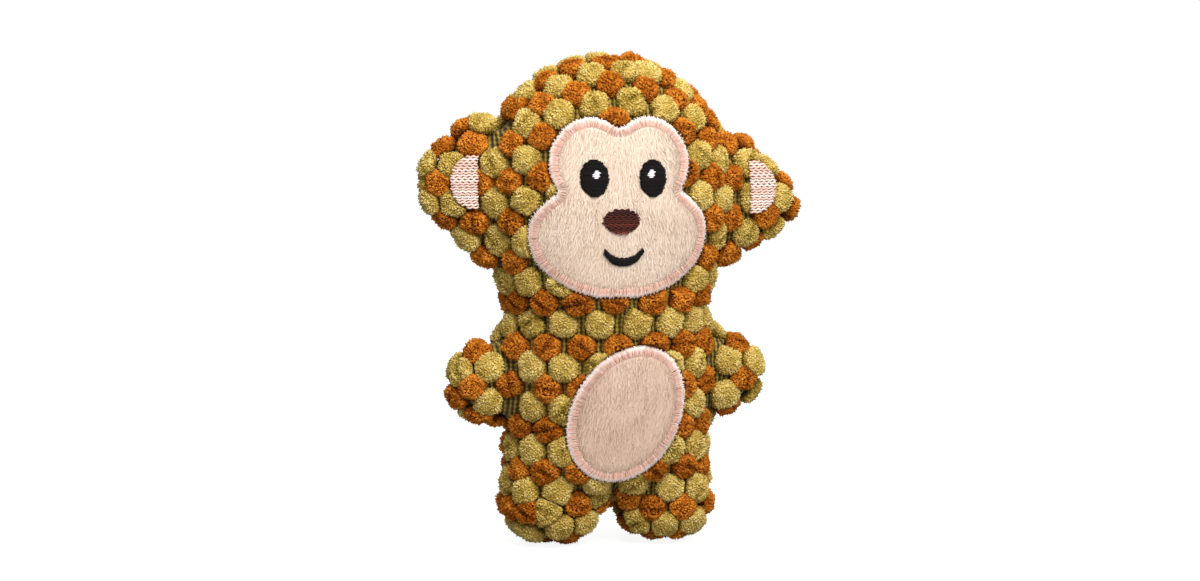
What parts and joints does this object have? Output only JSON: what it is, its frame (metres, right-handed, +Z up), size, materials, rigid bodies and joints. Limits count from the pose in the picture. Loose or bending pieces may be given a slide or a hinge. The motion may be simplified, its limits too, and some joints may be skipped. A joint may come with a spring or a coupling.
{
  "type": "plush monkey",
  "caption": "Standing stuffed monkey of bobble-pile fabric, with plush face and belly patches, stitched features and a soft head, ears, arms and legs that bend",
  "frame": {"origin": "On the floor under the middle of the monkey, in the plane of its side seams, between its two soles", "axes": "+Z up through the top of the head; the face looks along -Y; the monkey's own left ear and arm point along +X; metres"},
  "size_m": [0.1282, 0.0566, 0.1594],
  "materials": {
    "bobble_fabric": "Bobble-pile chenille knit in staggered rows of olive green and rust orange tufts on a dark olive backing",
    "filling": "White polyester fibre filling",
    "patch_plush": "Short cream-pink velour plush",
    "pink_thread": "Pale pink embroidery thread in satin stitch, slightly shiny",
    "black_thread": "Black embroidery thread in satin stitch",
    "brown_thread": "Dark red-brown embroidery thread in horizontal satin stitch",
    "white_thread": "White embroidery thread",
    "squeaker_plastic": "Off-white moulded soft plastic",
    "reed_plastic": "Blue moulded plastic"
  },
  "bodies": {
    "torso": {"torso_front_panel": "bobble_fabric", "torso_back_panel": "bobble_fabric", "torso_front_filling": "filling", "torso_back_filling": "filling", "belly_patch": "patch_plush", "belly_border_stitch": "pink_thread", "squeaker_bellows": "squeaker_plastic", "squeaker_base": "squeaker_plastic", "squeaker_reed_plug": "reed_plastic"},
    "squeaker_cap": {"squeaker_cap": "squeaker_plastic"},
    "head": {"head_front_panel": "bobble_fabric", "head_back_panel": "bobble_fabric", "head_filling": "filling", "face_patch": "patch_plush", "face_border_stitch": "pink_thread", "nose_stitch": "brown_thread", "mouth_stitch": "black_thread", "right_eye_stitch": "black_thread", "right_eye_glint_stitch": "white_thread", "left_eye_stitch": "black_thread", "left_eye_glint_stitch": "white_thread"},
    "right_ear": {"right_ear_front_panel": "bobble_fabric", "right_ear_back_panel": "bobble_fabric", "right_ear_filling": "filling", "right_ear_inner_stitch": "pink_thread"},
    "left_ear": {"left_ear_front_panel": "bobble_fabric", "left_ear_back_panel": "bobble_fabric", "left_ear_filling": "filling", "left_ear_inner_stitch": "pink_thread"},
    "right_arm": {"right_arm_front_panel": "bobble_fabric", "right_arm_back_panel": "bobble_fabric", "right_arm_filling": "filling"},
    "left_arm": {"left_arm_front_panel": "bobble_fabric", "left_arm_back_panel": "bobble_fabric", "left_arm_filling": "filling"},
    "right_leg": {"right_leg_front_panel": "bobble_fabric", "right_leg_back_panel": "bobble_fabric", "right_leg_filling": "filling"},
    "left_leg": {"left_leg_front_panel": "bobble_fabric", "left_leg_back_panel": "bobble_fabric", "left_leg_filling": "filling"}
  },
  "joints": [
    {"name": "head_nod", "type": "hinge", "parent": "torso", "child": "head", "pos_m": [0, 0, 0.076], "axis": [1, 0, 0], "range_deg": [-10, 7], "stiffness_Nm_per_rad": 0.6},
    {"name": "right_ear_fold", "type": "hinge", "parent": "head", "child": "right_ear", "pos_m": [-0.0422, 0, 0.1145], "axis": [0, 0, 1], "range_deg": [-25, 25], "stiffness_Nm_per_rad": 0.02},
    {"name": "left_ear_fold", "type": "hinge", "parent": "head", "child": "left_ear", "pos_m": [0.0422, 0, 0.112], "axis": [0, 0, -1], "range_deg": [-25, 25], "stiffness_Nm_per_rad": 0.02},
    {"name": "right_arm_fold", "type": "hinge", "parent": "torso", "child": "right_arm", "pos_m": [-0.0366, 0, 0.053], "axis": [0, 0, 1], "range_deg": [-25, 25], "stiffness_Nm_per_rad": 0.02},
    {"name": "left_arm_fold", "type": "hinge", "parent": "torso", "child": "left_arm", "pos_m": [0.0366, 0, 0.053], "axis": [0, 0, -1], "range_deg": [-25, 25], "stiffness_Nm_per_rad": 0.02},
    {"name": "right_leg_swing", "type": "hinge", "parent": "torso", "child": "right_leg", "pos_m": [-0.01795, 0, 0.017], "axis": [-1, 0, 0], "range_deg": [-12, 12], "stiffness_Nm_per_rad": 0.8},
    {"name": "left_leg_swing", "type": "hinge", "parent": "torso", "child": "left_leg", "pos_m": [0.01795, 0, 0.017], "axis": [-1, 0, 0], "range_deg": [-12, 12], "stiffness_Nm_per_rad": 0.8},
    {"name": "squeaker_press", "type": "slide", "parent": "torso", "child": "squeaker_cap", "axis": [0, 1, 0], "range_m": [0, 0.005], "stiffness_N_per_m": 400, "deforming": ["squeaker_bellows"]}
  ]
}
